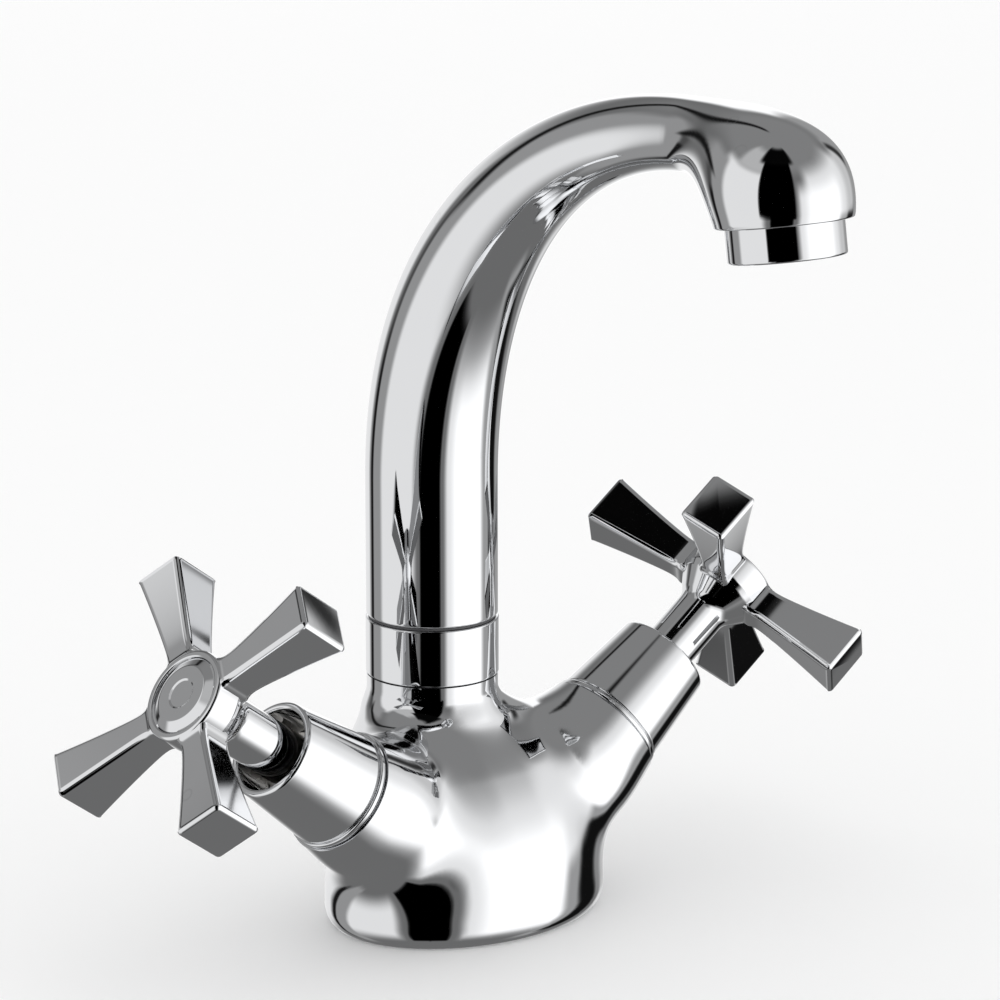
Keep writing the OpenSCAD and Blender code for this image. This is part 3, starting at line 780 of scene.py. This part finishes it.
# ---------------------------------------------------------------- headworks and shrouds


def add_shroud(side):
    """Bead ring and open-mouthed shroud of one valve."""
    place = valve_frame(side)
    bore, groove, ring = BEAD_GROOVE_R - 0.6, BEAD_GROOVE_R, VALVE_R + 0.1
    low, high = BEAD_GROOVE, BEAD_W - BEAD_GROOVE
    bead = [
        (bore, 0.0, 0.1), (groove, 0.0, 0.1), (groove, low, 0.1), (ring, low, 0.5),
        (ring, high, 0.5), (groove, high, 0.1), (groove, BEAD_W, 0.1), (bore, BEAD_W, 0.1),
    ]
    finish_piece(lathe(side + "_bead", bead, place), "base", "trim_chrome", side + "_bead_ring")
    corners = [
        (SHROUD_SEAT_R, SHROUD_FOOT, 0.1), (SHROUD_FOOT_R, SHROUD_FOOT, 0.4),
        (SHROUD_END_R, SHROUD_END, 0.8), (SHROUD_MOUTH_R, SHROUD_END, 0.8),
        (SHROUD_MOUTH_R, 11.0, 0.3), (HEADWORK_R, 11.0, 0.1),
        (HEADWORK_R, 7.0, 0.1), (SHROUD_SEAT_R, 7.0, 0.2),
    ]
    finish_piece(lathe(side + "_sleeve", corners, place), "base", "trim_chrome", side + "_shroud")


# ---------------------------------------------------------------- cross handles


def rounded_box(w, d, r):
    """Rounded rectangle w by d with guard points, as a closed outline."""
    half_w, half_d = w / 2, d / 2
    corners = [(half_w, half_d, r), (-half_w, half_d, r), (-half_w, -half_d, r), (half_w, -half_d, r)]
    return rounded(corners, True, guard=0.25, steps=4)


def cross_arm(place, k):
    """One flared square arm of the cross, its root spread where it meets the hub."""
    neck, soft = HUB_R - 0.6, ARM_TIP_ROUND
    rings = []
    stations = list(np.linspace(ARM_START, CROSS_REACH - soft - 0.3, 44)) + [CROSS_REACH - soft]
    for x in stations:
        flare = ((x - ARM_START) / (CROSS_REACH - ARM_START)) ** ARM_FLARE
        spread = 1.9 * math.exp(-max(x - neck, 0.0) / 1.3)
        w = mix(ROOT_W, TIP_W, flare) + spread
        d = mix(ROOT_DEPTH, TIP_DEPTH, flare) + 0.6 * spread
        rings.append([(x, q.x, CROSS_RISE + q.y) for q in rounded_box(w, d, ARM_EDGE)])
    for a in np.linspace(0, math.pi / 2, 6)[1:]:
        x = CROSS_REACH - soft + soft * math.sin(a)
        trim = 2 * soft * (1 - math.cos(a))
        tip = rounded_box(TIP_W - trim, TIP_DEPTH - trim, max(ARM_EDGE - trim / 2, 0.2))
        rings.append([(x, q.x, CROSS_RISE + q.y) for q in tip])
    turn = Matrix.Rotation(math.pi / 2 * k, 4, "Z")
    return make_mesh("cross_arm", *loft(rings), place @ turn)


def add_cross(side):
    """Cross handle: stem, bell, hub with a raised rim, four flared arms, and the index cap."""
    place = valve_frame(side) @ Matrix.Rotation(CROSS_TURN[side], 4, "Z")
    corners = [
        (0, STEM_FOOT, 0), (STEM_R, STEM_FOOT, 0.4), (STEM_R, BELL_FOOT, 4.0),
        (HUB_R - 0.6, BELL_FOOT + 5.2, 2.0), (HUB_R, BELL_FOOT + 6.6, 1.0), (HUB_R, HUB_FRONT, 1.2),
        (CAP_R + 0.1, HUB_FRONT, 0.35), (CAP_R + 0.1, CAP_SEAT, 0.1), (0, CAP_SEAT, 0),
    ]
    hub = lathe(side + "_cross", corners, place, closed=False, turns=128)
    join_solids(hub, [cross_arm(place, k) for k in range(4)])
    smooth_shade(hub, 32)
    finish_piece(hub, side + "_handle", "handle_chrome", side + "_cross_handle")
    corners = [
        (0, CAP_SEAT, 0), (CAP_R, CAP_SEAT, 0.2), (CAP_R, HUB_FRONT - 0.5, 0.4),
        (CAP_R - 2.2, HUB_FRONT + 0.5, 1.5), (3.4, HUB_FRONT + 0.5, 0.2), (3.0, HUB_FRONT + 0.3, 0.2),
        (0, HUB_FRONT + 0.3, 0),
    ]
    cap = lathe(side + "_cap", corners, place, closed=False)
    finish_piece(cap, side + "_handle", "handle_chrome", side + "_index_cap")


# ---------------------------------------------------------------- CAD nodes that stay


def dress_frame():
    """Every CAD node that still shows gets the material of its slot."""
    slots = {row["node"]: row["material_slot"] for row in frame["record"]["subparts"]}
    for name, obj in frame["nodes"].items():
        obj.data.materials.clear()
        obj.data.materials.append(MATERIALS[slots[name]])


# ---------------------------------------------------------------- stage


ROOM_SHADE = 0.40       # brightness where there is no panel
TENT_R = 2.0            # metres
TENT_STEP = 1.5         # degrees
FLOOR_HALF = 6.0        # metres


def level(shown):
    """Light that chrome shows at this brightness on the screen, from 0 to 1."""
    light = shown / 12.92 if shown < 0.04045 else ((shown + 0.055) / 1.055) ** 2.4
    return 1.25 * light


def edge(value, at, soft):
    """0 before a soft edge and 1 past it."""
    return smooth(min(max((value - at) / soft + 0.5, 0.0), 1.0))


def panel_weight(azimuth, height, panel):
    """How much of a soft-edged panel is seen at an azimuth and a height, in degrees."""
    (left, right), (low, high), soft_side, soft_low, soft_high, lean = panel
    middle = (left + right) / 2
    half = (right - left) / 2
    turn = (azimuth - lean * height - middle + 180) % 360 - 180
    inside = edge(half - abs(turn), 0.0, soft_side)
    return inside * edge(height, low, soft_low) * edge(high, height, soft_high)


def shade(azimuth, height):
    """Brightness of the room where panels lie over each other, the later ones on top."""
    shown = ROOM_SHADE
    for brightness, *panel in TENT_PANELS:
        shown = mix(shown, brightness, panel_weight(azimuth, height, panel))
    return shown


# Brightness, azimuths, heights, softness at the sides, below and above, and lean to the right per degree up.
# All are in degrees, and azimuths run to the right of the camera's side.
TENT_PANELS = (
    (0.48, (-400, 400), (42, 95), 1, 20, 1, 0.0),           # ceiling
    (0.86, (150, 226), (-34, 20), 12, 26, 26, 0.0),         # white backdrop behind
    (0.56, (132, 170), (-20, 38), 12, 16, 16, 0.0),         # its dim right side
    (0.98, (168, 187), (-16, 38), 8, 12, 10, 0.0),          # bright gap beside it
    (0.86, (-104, -30), (-44, 42), 12, 34, 12, 0.0),        # fill box on the left
    (0.68, (-85, -34), (40, 72), 14, 12, 12, 0.0),          # and its top
    (0.55, (-124, -98), (-62, 36), 10, 12, 12, 0.0),        # its dim rear edge
    (0.74, (106, 138), (-12, 34), 12, 14, 14, 0.0),         # dim rear edge of the key box
    (0.86, (38, 116), (-8, 42), 18, 14, 26, 0.0),           # the key box's high end
    (0.88, (24, 110), (-44, 24), 10, 34, 24, 0.0),          # key box on the right
    (1.04, (38, 98), (-36, 20), 20, 22, 24, 0.0),           # and its bright middle
    (0.58, (98, 124), (-62, -8), 12, 12, 12, 0.0),          # the table's edge under it
    (0.28, (-127, -120), (-50, 12), 5, 8, 8, 0.15),         # seam between boxes, left
    (0.08, (-126, -119), (-42, -4), 4, 8, 8, 0.15),
    (0.08, (-112, -105), (10, 70), 5, 8, 8, -0.84),         # and up over the top
    (0.18, (146, 154), (10, 34), 6, 8, 8, -0.5),            # seam between boxes, right
    (0.06, (120, 142), (-52, -7), 9, 8, 8, 0.25),
    (0.00, (-36, 19), (-8, 61), 3, 5, 8, 0.0),              # dark room on the camera's side
    (0.00, (-20, 15), (-52, -2), 3, 8, 6, 0.0),
    (0.02, (-46, 28), (56, 80), 12, 8, 8, 0.0),
)


def glow_material():
    """Card material that shines by its own glow attribute."""
    material = bpy.data.materials.new("card_glow")
    material.use_nodes = True
    material.cycles.emission_sampling = "NONE"
    tree = material.node_tree
    shader = tree.nodes["Principled BSDF"]
    shader.inputs["Base Color"].default_value = (0.0, 0.0, 0.0, 1.0)
    shader.inputs["Specular IOR Level"].default_value = 0.0
    shader.inputs["Roughness"].default_value = 1.0
    shader.inputs["Emission Strength"].default_value = 1.0
    glow = tree.nodes.new("ShaderNodeAttribute")
    glow.attribute_name = "glow"
    tree.links.new(glow.outputs["Color"], shader.inputs["Emission Color"])
    return material


def around(azimuth, height, distance):
    """Point of the room at an azimuth and a height in degrees, seen from the middle of the body."""
    a = math.radians(azimuth) - VIEW_AZIMUTH
    e = math.radians(height)
    flat = distance * math.cos(e)
    return Vector((flat * math.sin(a), -flat * math.cos(a), 0.06 + distance * math.sin(e)))


def add_tent():
    """Light tent that only the polished metal sees: light boxes, dark gaps and seams in one round skin."""
    azimuths = np.arange(0, 360, TENT_STEP)
    heights = np.arange(-90, 90.1, TENT_STEP)
    rings = [[around(a, e, TENT_R) for a in azimuths] for e in heights]
    points, faces = loft(rings, closed_ends=False)
    mesh = bpy.data.meshes.new("light_tent")
    mesh.from_pydata(points, [], faces)
    glow = mesh.color_attributes.new("glow", "FLOAT_COLOR", "POINT")
    lights = [level(shade(a, e)) for e in heights for a in azimuths]
    glow.data.foreach_set("color", [c for light in lights for c in (light, light, light, 1.0)])
    tent = bpy.data.objects.new("light_tent", mesh)
    bpy.context.scene.collection.objects.link(tent)
    mesh.materials.append(glow_material())
    tent.visible_camera = False
    tent.visible_shadow = False
    tent.visible_diffuse = False
    tent.visible_transmission = False


def add_stage():
    """Pale floor, soft white room, and the light tent that the chrome reflects."""
    floor_mesh = bpy.data.meshes.new("floor")
    s = FLOOR_HALF
    floor_mesh.from_pydata([(-s, -s, 0), (s, -s, 0), (s, s, 0), (-s, s, 0)], [], [(0, 1, 2, 3)])
    floor = bpy.data.objects.new("floor", floor_mesh)
    bpy.context.scene.collection.objects.link(floor)
    pale = bpy.data.materials.new("pale_floor")
    pale.use_nodes = True
    shader = pale.node_tree.nodes["Principled BSDF"]
    shader.inputs["Base Color"].default_value = (0.95, 0.95, 0.95, 1.0)
    shader.inputs["Roughness"].default_value = 0.8
    floor_mesh.materials.append(pale)
    floor.visible_glossy = False

    world = bpy.data.worlds.new("soft_room")
    bpy.context.scene.world = world
    world.use_nodes = True
    background = world.node_tree.nodes["Background"]
    background.inputs["Color"].default_value = (1.0, 1.0, 1.0, 1.0)
    background.inputs["Strength"].default_value = 1.05
    bpy.context.scene.view_settings.view_transform = "Standard"

    add_tent()


# ---------------------------------------------------------------- build

dress_frame()
add_body()
add_spout()
add_swivel()
add_aerator()
for hand in ("left", "right"):
    add_shroud(hand)
    add_cross(hand)
add_stage()

bpy.context.view_layer.update()
